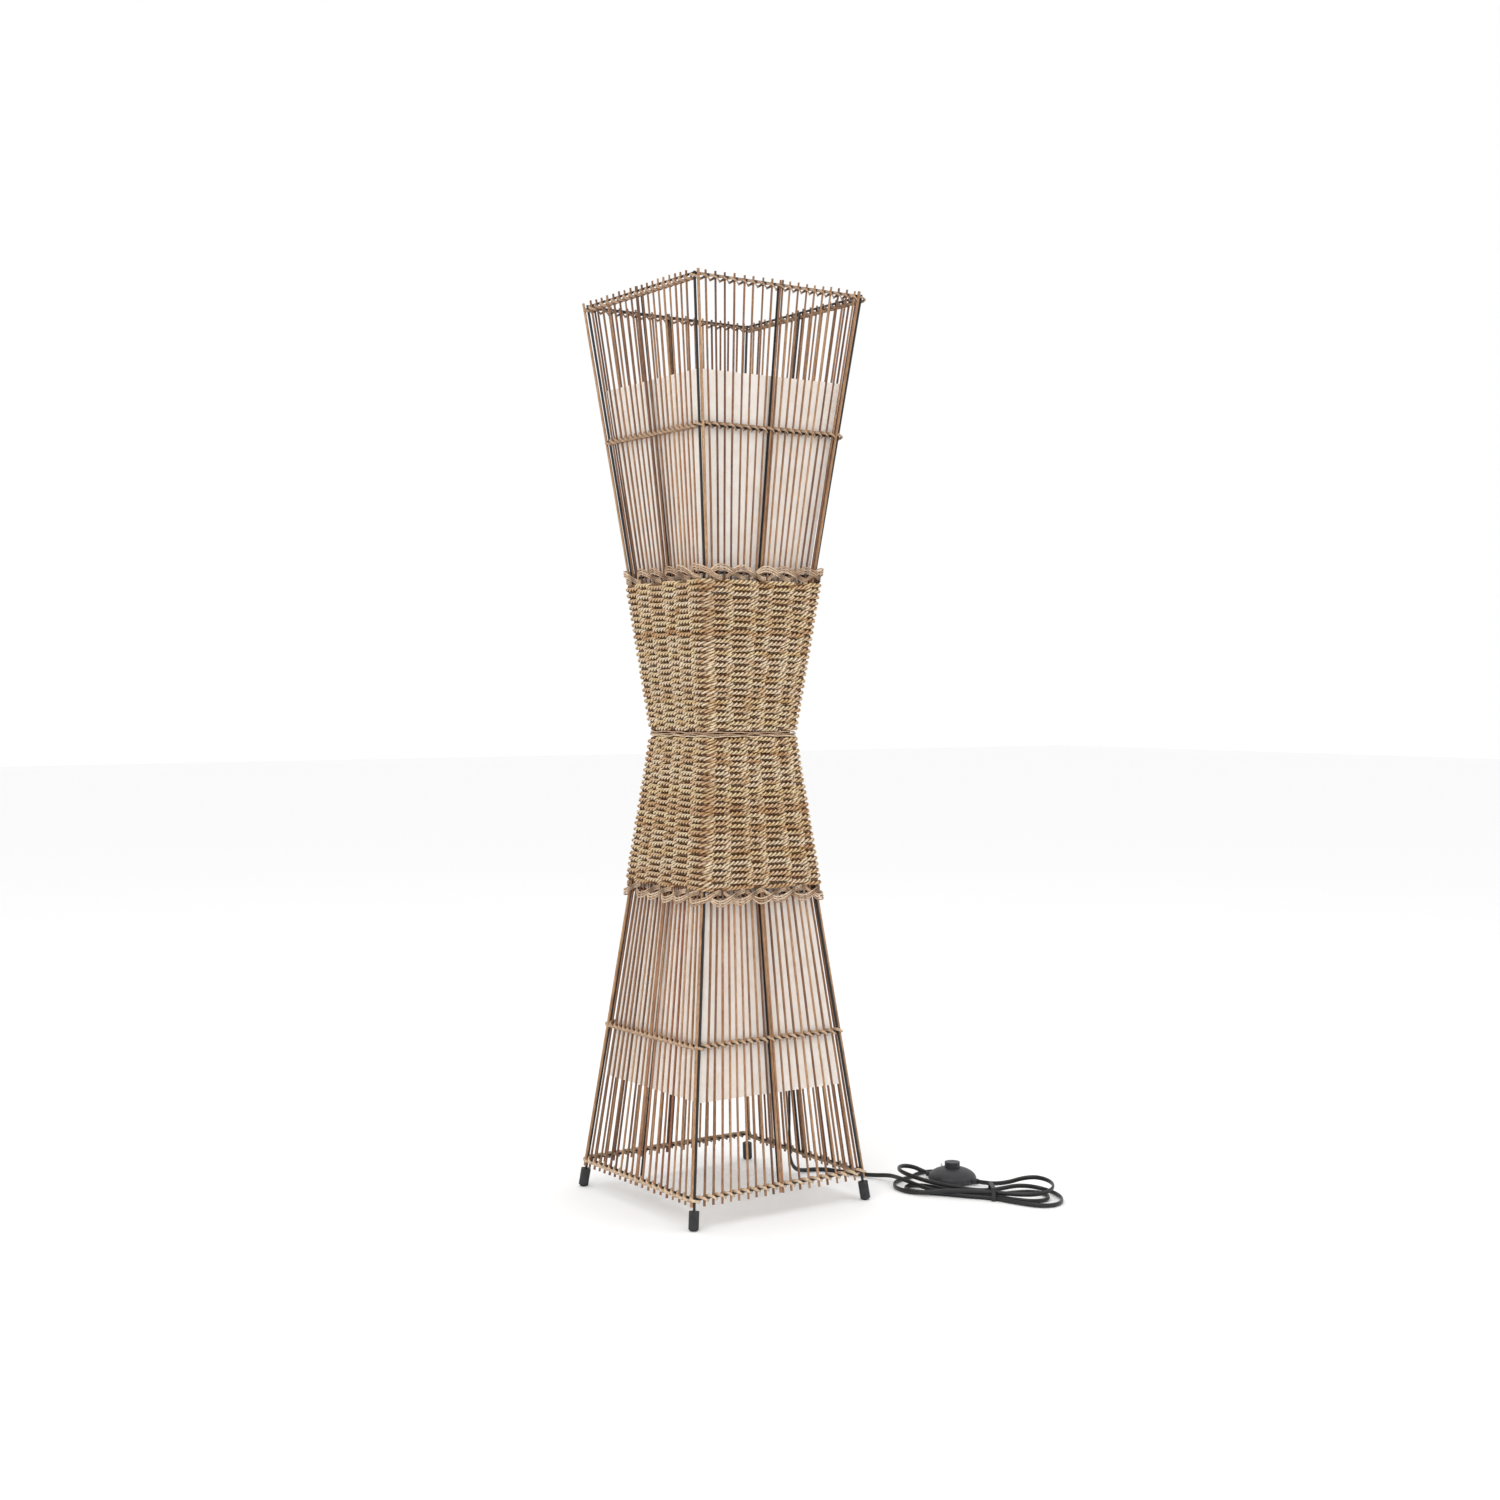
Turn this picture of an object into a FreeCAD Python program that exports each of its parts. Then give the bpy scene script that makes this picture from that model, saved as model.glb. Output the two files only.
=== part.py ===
"""Hourglass floor lamp: a black wire frame dressed with cane sticks and a seagrass sleeve.

Millimetres, +Z up. The origin is on the floor, under the middle of the lamp. The four faces are
named front (-Y), right (+X), back (+Y) and left (-X).
"""

import FreeCAD, Part
import math
import os

Vector = FreeCAD.Vector

# ---------------------------------------------------------------- driving dimensions
SIZES = {
    # wire frame, measured to the axes of the corner rods
    "waist_height": 563, "half_height": 529, "rim_half": 120.6, "waist_half": 57.8,
    "band_rise": 360, "weave_rise": 191,
    "corner_wire": 1.6, "ring_wire": 1.5, "mid_wire": 1.5, "weld_gap": 0.3,
    # cane sticks and what is lashed or woven over them
    "cane_offset": 3.15, "upper_cane": 1.25, "lower_cane": 1.4, "corner_cane": 1.5,
    "upper_tip": 5.5, "lower_tip": 9, "waist_gap": 1, "pair_half": 1.5,
    "lash_height": 6, "lash_thick": 2.2, "lash_offset": 4.75,
    "sleeve_offset": 4.8, "sleeve_thick": 6.8, "sleeve_round": 8, "sleeve_start": 4,
    "border_height": 19, "border_thick": 9, "strand_half": 3.5, "strand_thick": 4.5,
    # white liner
    "liner_rise": 424, "liner_start": 184, "liner_inset": 5.6, "liner_thick": 0.8,
    # rubber foot caps
    "cap_round": 6, "cap_length": 22, "cap_bore": 14, "cap_chamfer": 2,
    # lampholders and bulbs
    "bracket_rise": 168, "bracket_width": 14, "bracket_thick": 2,
    "holder_round": 19, "holder_length": 30, "holder_wall": 2.5, "holder_floor": 5,
    "bulb_cap_round": 13, "bulb_cap_length": 26, "bulb_neck": 14.5, "bulb_round": 30,
    "bulb_length": 82,
    "box_length": 34, "box_width": 20, "box_depth": 15, "inner_wire": 2.7,
    # foot switch
    "switch_round": 30, "switch_seam": 5, "dome_rise": 14, "dish_drop": 8, "switch_wall": 2,
    "button_round": 9.5, "button_clear": 0.3, "button_top": 25, "button_bottom": 13,
    "flange_round": 11.5, "flange_thick": 2.2, "spring_round": 6, "spring_wire": 0.5,
    "spring_pitch": 2.5, "screw_round": 1.4, "screw_head": 2.6, "screw_reach": 17,
    # cord and plug
    "cord_round": 2.7, "hank_depth": 15, "plug_length": 18, "plug_width": 16, "plug_depth": 7.5,
    "plug_round": 2.5, "blade_thick": 1.5, "blade_width": 6.35, "blade_length": 17,
    "blade_spacing": 12.7,
}

doc = FreeCAD.newDocument("floor_lamp")
sheet = doc.addObject("Spreadsheet::Sheet", "Params")
for row, (alias, value) in enumerate(SIZES.items(), start=1):
    sheet.set(f"A{row}", alias)
    sheet.set(f"B{row}", str(value))
    sheet.setAlias(f"B{row}", alias)
doc.recompute()

nodes = []


def size(alias):
    """The value of a driving dimension."""
    return float(sheet.get(alias))


def cell(alias):
    """How an expression names a driving dimension."""
    return f"Params.{alias}"


def bind(thing, **formulas):
    """Binds properties of a document object to formulas over the sheet."""
    for name, formula in formulas.items():
        thing.setExpression(name, formula)
    return thing


def node(thing, label):
    """Marks an object as a finished sub-part; its label names its file."""
    thing.Label = label
    nodes.append(thing)
    return thing


def group(label, members):
    """Several separate solids that share one node."""
    compound = doc.addObject("Part::Compound", label)
    compound.Links = members
    return node(compound, label)


def half_formula(rise, offset="0"):
    """Half the frame's width at a height above or below the waist, as a formula."""
    taper = f"({cell('rim_half')} - {cell('waist_half')}) / {cell('half_height')}"
    return f"{cell('waist_half')} + {taper} * ({rise}) + ({offset})"


def half_at(rise, offset=0.0):
    """The same half width as a number."""
    taper = (size("rim_half") - size("waist_half")) / size("half_height")
    return size("waist_half") + taper * abs(rise) + offset


def along(start, direction):
    """A placement whose +Z runs from start in the given direction."""
    return FreeCAD.Placement(start, FreeCAD.Rotation(Vector(0, 0, 1), direction))


def rod(name, radius, length, start, direction):
    """A straight round bar."""
    bar = doc.addObject("Part::Cylinder", name)
    bind(bar, Radius=radius, Height=length)
    bar.Placement = along(start, direction)
    return bar


def box(name, length, width, height, placement=None):
    """A block, with its sizes as formulas."""
    block = doc.addObject("Part::Box", name)
    bind(block, Length=length, Width=width, Height=height)
    block.Placement = placement or FreeCAD.Placement()
    return block


def combine(kind, name, base, tool):
    """A boolean of two objects: kind is Cut, Fuse or Common."""
    result = doc.addObject(f"Part::{kind}", name)
    result.Base = base
    result.Tool = tool
    return result


def fuse(name, shapes):
    """One solid from several that overlap."""
    result = doc.addObject("Part::MultiFuse", name)
    result.Shapes = shapes
    return result


FACES = ("front", "right", "back", "left")
CORNERS = ("front_left", "front_right", "back_right", "back_left")


def face_turn(index):
    """The turn that brings the front face (-Y) to the face with this index."""
    return FreeCAD.Rotation(Vector(0, 0, 1), 90 * index)


def on_face(index, across, out, rise):
    """A point of a face: across it from its middle, out from the axis, above the waist."""
    return face_turn(index).multVec(Vector(across, -out, 0)) + Vector(
        0, 0, size("waist_height") + rise
    )


# ---------------------------------------------------------------- wire frame
def bent_rod(name, radius, waist_point, top_point, foot_point):
    """A wire with one bend at the waist: two straight legs and the rounded elbow between them."""
    legs = []
    for part, end in (("upper", top_point), ("lower", foot_point)):
        leg = end - waist_point
        bar = doc.addObject("Part::Cylinder", f"{name}_{part}_leg")
        bind(bar, Radius=cell(radius))
        bar.Height = leg.Length
        bar.Placement = along(waist_point, leg)
        legs.append(bar)
    elbow = doc.addObject("Part::Sphere", f"{name}_elbow")
    bind(elbow, Radius=cell(radius))
    elbow.Placement.Base = waist_point
    return fuse(name, legs + [elbow])


def corner_point(index, rise, offset=0.0):
    """A point on the line of a corner, the left end of a face."""
    half = half_at(rise, offset)
    return on_face(index, -half, half, rise)


ROD_END_ABOVE_FLOOR = 9
for index, corner in enumerate(CORNERS):
    foot_rise = ROD_END_ABOVE_FLOOR - size("waist_height")
    wire = bent_rod(
        f"corner_rod_{corner}", "corner_wire",
        corner_point(index, 0), corner_point(index, size("half_height") + 2),
        corner_point(index, foot_rise),
    )
    node(wire, f"corner_rod_{corner}")

mid_inset = -(size("ring_wire") + size("mid_wire") + size("weld_gap"))
group("mid_rods", [
    bent_rod(
        f"mid_rod_{face}", "mid_wire",
        on_face(index, 0, half_at(0, mid_inset), 0),
        on_face(index, 0, half_at(size("half_height"), mid_inset), size("half_height")),
        on_face(index, 0, half_at(size("half_height"), mid_inset), -size("half_height")),
    )
    for index, face in enumerate(FACES)
])

# each level of the frame has a square of four wires, welded between the corner rods
LEVELS = {
    "top_rim": ("half_height", 1), "upper_band": ("band_rise", 1), "weave_top": ("weave_rise", 1),
    "waist": (None, 1), "weave_bottom": ("weave_rise", -1), "lower_band": ("band_rise", -1),
    "bottom_rim": ("half_height", -1),
}
for level, (alias, sign) in LEVELS.items():
    rise = sign * size(alias) if alias else 0.0
    clear = f"{cell('corner_wire')} + {cell('weld_gap')}"
    half = half_formula(cell(alias) if alias else "0", f"-({clear})")
    bars = []
    for index, face in enumerate(FACES):
        end = half_at(rise, -size("corner_wire") - size("weld_gap"))
        start = on_face(index, -end, half_at(rise), rise)
        across = face_turn(index).multVec(Vector(1, 0, 0))
        bars.append(
            rod(f"ring_{level}_{face}", cell("ring_wire"), f"2 * ({half})", start, across)
        )
    group(f"ring_{level}", bars)


# ---------------------------------------------------------------- rubber foot caps
def foot_cap(index, corner):
    """A blind rubber cap pushed over a rod's end, worn flat where it meets the floor."""
    foot = corner_point(index, -size("waist_height"))
    up = corner_point(index, 0) - foot
    place = along(foot, up)
    straight = rod(
        f"cap_{corner}_wall", cell("cap_round"),
        f"{cell('cap_length')} - {cell('cap_chamfer')}",
        place.multVec(Vector(0, 0, size("cap_chamfer"))), up,
    )
    toe = doc.addObject("Part::Cone", f"cap_{corner}_toe")
    bind(
        toe, Radius1=f"{cell('cap_round')} - {cell('cap_chamfer')}", Radius2=cell("cap_round"),
        Height=cell("cap_chamfer"),
    )
    toe.Placement = place
    outside = combine("Fuse", f"cap_{corner}_outside", straight, toe)
    bore_start = place.multVec(Vector(0, 0, size("cap_length") - size("cap_bore")))
    bore = rod(
        f"cap_{corner}_bore", f"{cell('corner_wire')} + 0.05", f"{cell('cap_bore')} + 1",
        bore_start, up,
    )
    bored = combine("Cut", f"cap_{corner}_bored", outside, bore)
    floor = box(
        f"cap_{corner}_floor", "40", "40", "20",
        FreeCAD.Placement(foot + Vector(-20, -20, -20), FreeCAD.Rotation()),
    )
    node(combine("Cut", f"foot_cap_{corner}", bored, floor), f"foot_cap_{corner}")


for index, corner in enumerate(CORNERS):
    foot_cap(index, corner)


# ---------------------------------------------------------------- cane sticks
def stick_places(first_half, second_half):
    """Where the sticks stand across a face, from -1 to 1, with a close pair at the middle."""
    left = [-1 + step / first_half for step in range(1, first_half)]
    right = [step / second_half for step in range(1, second_half)]
    return left, right


def cane(name, radius, tip, low, high):
    """A stick from just off the waist to a little past the rim."""
    direction = (high - low).normalize()
    reach = (high - low).Length
    return rod(
        name, cell(radius), f"{reach} - {cell('waist_gap')} + {cell(tip)}",
        low + direction * size("waist_gap"), direction,
    )


HALVES = {
    "upper": {"sign": 1, "radius": "upper_cane", "tip": "upper_tip", "intervals": (9, 10)},
    "lower": {"sign": -1, "radius": "lower_cane", "tip": "lower_tip", "intervals": (10, 9)},
}
for half_name, half in HALVES.items():
    rim = half["sign"] * size("half_height")
    out_low = half_at(0, size("cane_offset"))
    out_high = half_at(rim, size("cane_offset"))
    for index, face in enumerate(FACES):
        left, right = stick_places(*half["intervals"])
        spots = [(u * half_at(0), u * half_at(rim)) for u in left + right]
        spots += [(side * size("pair_half"),) * 2 for side in (-1, 1)]
        sticks = [
            cane(
                f"cane_{face}_{half_name}_{number}", half["radius"], half["tip"],
                on_face(index, low, out_low, 0), on_face(index, high, out_high, rim),
            )
            for number, (low, high) in enumerate(sorted(spots), start=1)
        ]
        group(f"cane_sticks_{face}_{half_name}", sticks)

# the upper corner canes lie in the front and back faces, the lower ones in the other two
corner_canes = []
for half_name, faces, rim_shift in (("upper", (0, 2), 3.0), ("lower", (1, 3), 0.5)):
    half = HALVES[half_name]
    rim = half["sign"] * size("half_height")
    for index in faces:
        for side in (-1, 1):
            low = on_face(index, side * (half_at(0) - 0.5), half_at(0, size("cane_offset")), 0)
            high = on_face(
                index, side * (half_at(rim) - rim_shift), half_at(rim, size("cane_offset")), rim
            )
            name = f"corner_cane_{half_name}_{index}_{'left' if side < 0 else 'right'}"
            corner_canes.append(cane(name, "corner_cane", half["tip"], low, high))
group("corner_canes", corner_canes)


# ---------------------------------------------------------------- lashings, panels and sleeves
def panel(name, index, low, high, offset, thick, edge):
    """A flat trapezoid on one face, from one rise to another, thickening outwards.

    low and high are (sign, formula) rises; offset is from the frame's wires; edge trims its sides.
    """
    low_rise, high_rise = (sign * value_of(formula) for sign, formula in (low, high))
    bottom = on_face(index, 0, half_at(low_rise, value_of(offset)), low_rise)
    top = on_face(index, 0, half_at(high_rise, value_of(offset)), high_rise)
    wide_low, wide_high = (half_formula(formula, edge) for _, formula in (low, high))
    slab = doc.addObject("Part::Wedge", name)
    bind(
        slab, Xmin=f"-({wide_low})", Xmax=wide_low, X2min=f"-({wide_high})", X2max=wide_high,
        Zmin="0", Z2min="0", Zmax=thick, Z2max=thick, Ymin="0",
    )
    slab.Ymax = (top - bottom).Length
    across = face_turn(index).multVec(Vector(1, 0, 0))
    upwards = (top - bottom).normalize()
    turn = FreeCAD.Rotation(across, upwards, across.cross(upwards), "XYZ")
    slab.Placement = FreeCAD.Placement(bottom, turn)
    return slab


def value_of(formula):
    """The value of a formula over the sheet."""
    return float(sheet.evalExpression(formula.replace("Params.", "")))


def lashing(label, alias, sign):
    """A square of four lashed bars just outside the sticks."""
    height = f"{cell('lash_height')} / 2"
    inner, outer = f"{cell(alias)} - {height}", f"{cell(alias)} + {height}"
    low, high = ((1, inner), (1, outer)) if sign > 0 else ((-1, outer), (-1, inner))
    edge = f"{cell('lash_offset')} - 0.2"
    group(label, [
        panel(
            f"{label}_{face}", index, low, high, cell("lash_offset"), cell("lash_thick"), edge
        )
        for index, face in enumerate(FACES)
    ])


for level in ("top_rim", "upper_band", "lower_band", "bottom_rim"):
    lashing(f"lashing_{level}", *LEVELS[level])


def liner(label, sign):
    """Four flat white panels inside the wires, glued edge to edge."""
    near, far = cell("liner_start"), cell("liner_rise")
    low, high = ((1, near), (1, far)) if sign > 0 else ((-1, far), (-1, near))
    inset = f"-({cell('liner_inset')})"
    edge = f"{inset} - {cell('weld_gap')}"
    group(label, [
        panel(f"{label}_{face}", index, low, high, inset, cell("liner_thick"), edge)
        for index, face in enumerate(FACES)
    ])


liner("liner_upper", 1)
liner("liner_lower", -1)


def square_taper(name, low, high, offset, overrun):
    """A solid of square section that follows the frame's taper, run on a little at both ends."""
    (low_sign, low_rise), (high_sign, high_rise) = low, high
    body = doc.addObject("Part::Wedge", name)
    ends = (f"{low_rise} - {low_sign} * {overrun}", f"{high_rise} + {high_sign} * {overrun}")
    wide_low, wide_high = (half_formula(rise, offset) for rise in ends)
    bind(
        body, Ymin=f"{low_sign} * ({ends[0]})", Ymax=f"{high_sign} * ({ends[1]})",
        Xmin=f"-({wide_low})", Xmax=wide_low, Zmin=f"-({wide_low})", Zmax=wide_low,
        X2min=f"-({wide_high})", X2max=wide_high, Z2min=f"-({wide_high})", Z2max=wide_high,
    )
    stand = FreeCAD.Rotation(Vector(1, 0, 0), 90)
    body.Placement = FreeCAD.Placement(Vector(0, 0, size("waist_height")), stand)
    return body


def sleeve(label, low, high, thick):
    """A closed band round the lamp, with rounded corners and the true opening inside."""
    offset = cell("sleeve_offset")
    outside = square_taper(f"{label}_outside", low, high, f"{offset} + {thick}", 0)
    doc.recompute()
    uprights = [
        number
        for number, edge in enumerate(outside.Shape.Edges, start=1)
        if abs(edge.Vertexes[0].Z - edge.Vertexes[1].Z) > 1
    ]
    rounded = doc.addObject("Part::Fillet", f"{label}_rounded")
    rounded.Base = outside
    corner = size("sleeve_round")
    rounded.Edges = [(number, corner, corner) for number in uprights]
    inside = square_taper(f"{label}_inside", low, high, offset, 1)
    node(combine("Cut", label, rounded, inside), label)


border_low = f"{cell('weave_rise')} - {cell('border_height')} / 2"
border_high = f"{cell('weave_rise')} + {cell('border_height')} / 2"
border_gap = f"{border_low} - 0.5"
woven = cell("sleeve_thick")
rolled = cell("border_thick")
sleeve("seagrass_sleeve_upper", (1, cell("sleeve_start")), (1, border_gap), woven)
sleeve("seagrass_sleeve_lower", (-1, border_gap), (-1, cell("sleeve_start")), woven)
sleeve("sleeve_border_top", (1, border_low), (1, border_high), rolled)
sleeve("sleeve_border_bottom", (-1, border_high), (-1, border_low), rolled)
strand = cell("strand_half")
sleeve("waist_strands", (-1, strand), (1, strand), cell("strand_thick"))


# ---------------------------------------------------------------- lampholders and bulbs
def lamp(half_name, sign):
    """A bracket, a lampholder and a bulb, pointing away from the waist."""
    up = Vector(0, 0, sign)
    level = sign * size("bracket_rise")
    reach = half_at(level, mid_inset - size("mid_wire") - size("weld_gap"))
    start = Vector(-reach, -size("bracket_width") / 2, size("waist_height") + level)
    if sign < 0:
        start.z -= size("bracket_thick")
    inset = f"-({cell('ring_wire')} + 2 * {cell('mid_wire')} + 2 * {cell('weld_gap')})"
    span = f"2 * ({half_formula(cell('bracket_rise'), inset)})"
    bar = box(
        f"bracket_{half_name}", span, cell("bracket_width"), cell("bracket_thick"),
        FreeCAD.Placement(start, FreeCAD.Rotation()),
    )
    node(bar, f"holder_bracket_{half_name}")

    foot = Vector(0, 0, size("waist_height") + level) + up * size("bracket_thick")
    shell = rod(f"shell_{half_name}", cell("holder_round"), cell("holder_length"), foot, up)
    bore = rod(
        f"shell_bore_{half_name}", f"{cell('holder_round')} - {cell('holder_wall')}",
        cell("holder_length"), foot + up * size("holder_floor"), up,
    )
    node(combine("Cut", f"lampholder_{half_name}", shell, bore), f"lampholder_{half_name}")

    cap_start = foot + up * (size("holder_floor") + size("weld_gap"))
    screw_cap = rod(
        f"bulb_cap_{half_name}", cell("bulb_cap_round"), cell("bulb_cap_length"), cap_start, up
    )
    node(screw_cap, f"bulb_cap_{half_name}")

    neck_start = cap_start + up * size("bulb_cap_length")
    neck = doc.addObject("Part::Cone", f"bulb_neck_{half_name}")
    bind(
        neck, Radius1=cell("bulb_neck"), Radius2=f"0.87 * {cell('bulb_round')}",
        Height=f"{cell('bulb_length')} - 1.5 * {cell('bulb_round')}",
    )
    neck.Placement = along(neck_start, up)
    globe = doc.addObject("Part::Sphere", f"bulb_globe_{half_name}")
    bind(globe, Radius=cell("bulb_round"))
    globe.Placement.Base = neck_start + up * (size("bulb_length") - size("bulb_round"))
    node(fuse(f"bulb_glass_{half_name}", [neck, globe]), f"bulb_glass_{half_name}")


lamp("upper", 1)
lamp("lower", -1)

# the junction box is fixed to the side of the lower bracket
LOWER_BAR = size("waist_height") - size("bracket_rise")
BOX_CORNER = Vector(24, size("bracket_width") / 2 + size("weld_gap"), LOWER_BAR - 10)
BOX_MIDDLE_Y = BOX_CORNER.y + size("box_width") / 2
BOX_TOP = BOX_CORNER.z + size("box_depth")
junction = box(
    "junction_box", cell("box_length"), cell("box_width"), cell("box_depth"),
    FreeCAD.Placement(BOX_CORNER, FreeCAD.Rotation()),
)
node(junction, "junction_box")


# ---------------------------------------------------------------- cords
def tube(label, points, radius, place=None):
    """A plain round tube along straight runs joined by the largest tangent arcs that fit."""
    place = place or FreeCAD.Placement()
    points = [place.multVec(Vector(*point)) for point in points]
    edges, here, radii = [], points[0], []
    for before, corner, after in zip(points, points[1:], points[2:]):
        back, ahead = (before - corner), (after - corner)
        shorter = min(back.Length, ahead.Length)
        back.normalize()
        ahead.normalize()
        turn = math.pi - back.getAngle(ahead)
        bend = 0.45 * shorter / math.tan(turn / 2)
        radii.append(round(bend))
        arc_start = corner + back * (0.45 * shorter)
        arc_end = corner + ahead * (0.45 * shorter)
        middle = (back + ahead).normalize()
        crown = corner + middle * (bend / math.cos(turn / 2) - bend)
        edges.append(Part.LineSegment(here, arc_start).toShape())
        edges.append(Part.Arc(arc_start, crown, arc_end).toShape())
        here = arc_end
    edges.append(Part.LineSegment(here, points[-1]).toShape())
    path = Part.Wire(edges)
    ring = Part.Wire(Part.makeCircle(radius, points[0], points[1] - points[0]))
    piece = doc.addObject("Part::Feature", label)
    piece.Shape = path.makePipeShell([ring], True, True)
    ratio = piece.Shape.Volume / (math.pi * radius**2 * path.Length)
    print(f"{label}: length {path.Length:.0f} mm, volume ratio {ratio:.4f}, radii {radii}")
    if abs(ratio - 1) > 0.01:
        raise RuntimeError(f"{label} has a wrong volume")
    return piece


# a tie holds the cord to the right-hand mid rod just under the liner; above it the cord is inside
TIE_BOTTOM = 131
HOLDER_ENTRY_Y = 12.5
SUPPLY_ROUTE = [
    (100.5, 0, TIE_BOTTOM), (96.5, 0.5, 155), (90.6, 1, 190), (84.8, 1.5, 232), (78, 2.5, 275),
    (72, 5, 315), (64, 11, 346), (55, 16, 368), (52, BOX_MIDDLE_Y, BOX_CORNER.z),
]
UPPER_ROUTE = [
    (44, BOX_MIDDLE_Y, BOX_TOP), (42, 17, 425), (36, 16, 462), (29, 15, 510), (24, 15, 560),
    (20, 14.5, 612), (12, 13.5, 662), (4, 13, 704),
    (0, HOLDER_ENTRY_Y, size("waist_height") + size("bracket_rise") + size("bracket_thick")),
]
LOWER_ROUTE = [
    (32, BOX_MIDDLE_Y, BOX_TOP), (31.5, 17, 409), (24, 16, 417), (14, 14, 413),
    (9.5, 13, 403), (9, HOLDER_ENTRY_Y, LOWER_BAR - size("bracket_thick")),
]
group("inner_cables", [
    tube("inner_cable_supply", SUPPLY_ROUTE, size("cord_round")),
    tube("inner_cable_upper", UPPER_ROUTE, size("inner_wire")),
    tube("inner_cable_lower", LOWER_ROUTE, size("inner_wire")),
])

# where the flat cord lies: down inside the lamp, out under the right face and round to the hank
LEAD_ROUTE = [
    (100.5, 0, TIE_BOTTOM), (102.8, 2, 106), (105, 4.5, 78), (107, 8, 50), (110, 11, 27.5),
    (120.5, 17, 10), (137.5, 23, 3.2), (154, 22, 2.8), (167, 13.5, 2.8), (175, -2, 2.8),
    (184, -26, 2.8), (197, -50, 2.8), (206, -74, 2.8),
]
node(tube("cord_lead", LEAD_ROUTE, size("cord_round")), "cord_lead")

tie_ring = combine(
    "Cut", "cable_tie_ring",
    box("cable_tie_outside", "14.6", "9", "3.5",
        FreeCAD.Placement(Vector(95.3, -4.5, TIE_BOTTOM), FreeCAD.Rotation())),
    box("cable_tie_inside", "11.6", "6", "5",
        FreeCAD.Placement(Vector(96.8, -3, TIE_BOTTOM - 1), FreeCAD.Rotation())),
)
node(tie_ring, "cable_tie")

# the hank: its own frame has its origin under the twist tie and +X along the longer lobe
HANK = FreeCAD.Placement(Vector(252.2, -205.2, 0), FreeCAD.Rotation(Vector(0, 0, 1), -34.2))
HANK_OUTLINE = [
    (-113, 60), (-108, 36), (-60, 10), (-12, -9), (12, -12), (52, -52), (74, -42), (86, -10),
    (84, 22), (66, 46), (30, 30), (14, 12), (-12, 12), (-50, 38), (-68, 58), (-72, 82),
    (-69.7, 95.4), (-61.1, 107.7), (-62, 125), (-86, 125), (-102, 116), (-112, 97),
]
hank_body = doc.addObject("PartDesign::Body", "cord_hank")
outline = hank_body.newObject("Sketcher::SketchObject", "hank_outline")
floor_plane = next(
    plane for plane in hank_body.Origin.OriginFeatures if plane.Role == "XY_Plane"
)
outline.AttachmentSupport = [(floor_plane, "")]
outline.MapMode = "FlatFace"
for (x, y), (next_x, next_y) in zip(HANK_OUTLINE, HANK_OUTLINE[1:] + HANK_OUTLINE[:1]):
    outline.addGeometry(Part.LineSegment(Vector(x, y, 0), Vector(next_x, next_y, 0)))
hank_pad = hank_body.newObject("PartDesign::Pad", "hank_pad")
hank_pad.Profile = outline
bind(hank_pad, Length=cell("hank_depth"))
hank_body.Placement = HANK
node(hank_body, "cord_hank")

# a twist tie stands over the narrow middle of the hank
tie_over = box("twist_tie_outside", "5", "31", f"{cell('hank_depth')} + 1.6",
               HANK * FreeCAD.Placement(Vector(0, -16, 0), FreeCAD.Rotation()))
tie_under = box("twist_tie_inside", "7", "27.4", f"{cell('hank_depth')} + 0.2",
                HANK * FreeCAD.Placement(Vector(-1, -14.2, 0), FreeCAD.Rotation()))
node(combine("Cut", "twist_tie", tie_over, tie_under), "twist_tie")


# ---------------------------------------------------------------- foot switch
SWITCH = HANK * FreeCAD.Placement(Vector(-36, 81, 0), FreeCAD.Rotation(Vector(0, 0, 1), -35))
BOOT_REACH = 36


def at_switch(x, y, z, axis=Vector(0, 0, 1)):
    """A placement in the switch's own frame."""
    return SWITCH * along(Vector(x, y, z), axis)


def turned(name, radius, height, place):
    """A round bar at a placement."""
    bar = doc.addObject("Part::Cylinder", name)
    bind(bar, Radius=radius, Height=height)
    bar.Placement = place
    return bar


def lens(name, round_size, rise):
    """A flattened ball centred on the seam of the switch."""
    ball = doc.addObject("Part::Ellipsoid", name)
    bind(ball, Radius1=rise, Radius2=round_size, Radius3=round_size)
    ball.Placement = at_switch(0, 0, size("switch_seam"))
    return ball


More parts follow.
